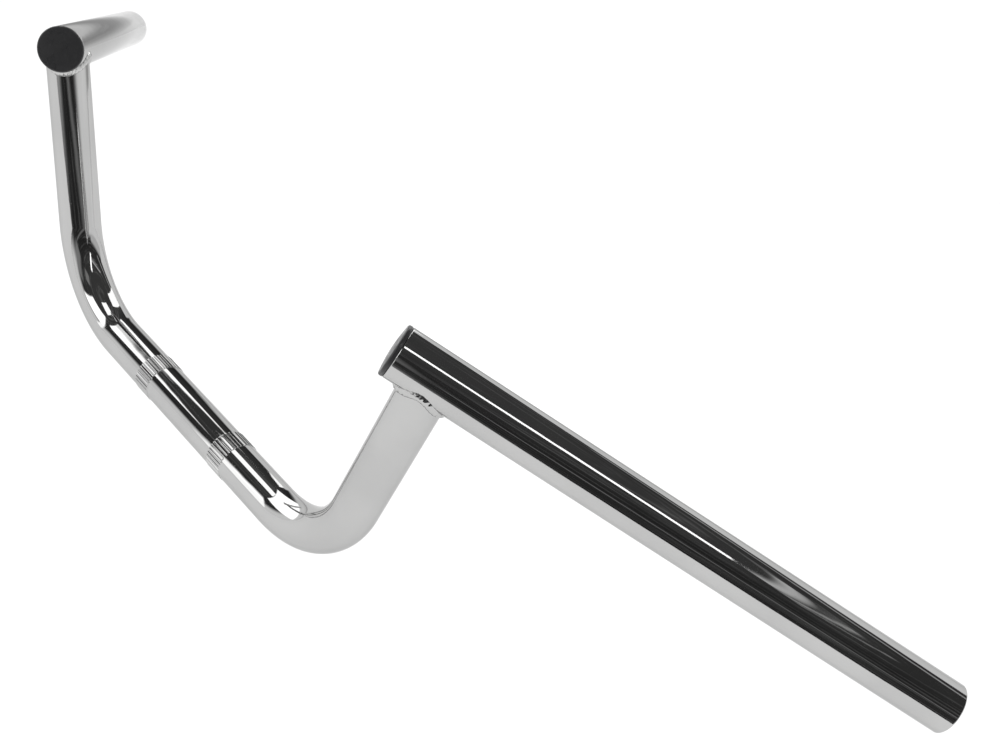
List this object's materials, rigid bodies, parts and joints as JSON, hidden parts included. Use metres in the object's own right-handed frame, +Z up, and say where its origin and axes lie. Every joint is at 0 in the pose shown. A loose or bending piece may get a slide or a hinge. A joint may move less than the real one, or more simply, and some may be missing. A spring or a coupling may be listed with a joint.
{
  "type": "motorcycle handlebar",
  "caption": "Chrome-plated steel handlebar for a small motorcycle: bent centre tube with knurled clamp bands, welded grip tubes swept back and down",
  "frame": {"origin": "the middle of the clamp section, on the tube's axis", "axes": "+Z up, +Y forward, the way the motorcycle travels, +X to the rider's right; the grips sweep back to -Y and droop to -Z"},
  "size_m": [0.6854, 0.1677, 0.1524],
  "materials": {
    "chrome_plate": "bright decorative chrome on polished steel tube",
    "chrome_weld": "bright chrome over a rippled weld",
    "plug_plastic": "black moulded plastic with a fine satin grain"
  },
  "bodies": {
    "handlebar": {"centre_tube": "chrome_plate", "left_grip_tube": "chrome_plate", "right_grip_tube": "chrome_plate", "left_weld_bead": "chrome_weld", "right_weld_bead": "chrome_weld"},
    "left_plug": {"left_end_plug": "plug_plastic"},
    "right_plug": {"right_end_plug": "plug_plastic"}
  },
  "joints": [
    {"name": "left_plug_pull", "type": "slide", "parent": "handlebar", "child": "left_plug", "axis": [0.7574, 0.5707, 0.3173], "range_m": [0, 0.02]},
    {"name": "right_plug_pull", "type": "slide", "parent": "handlebar", "child": "right_plug", "axis": [-0.7574, 0.5707, 0.3173], "range_m": [0, 0.02]}
  ]
}
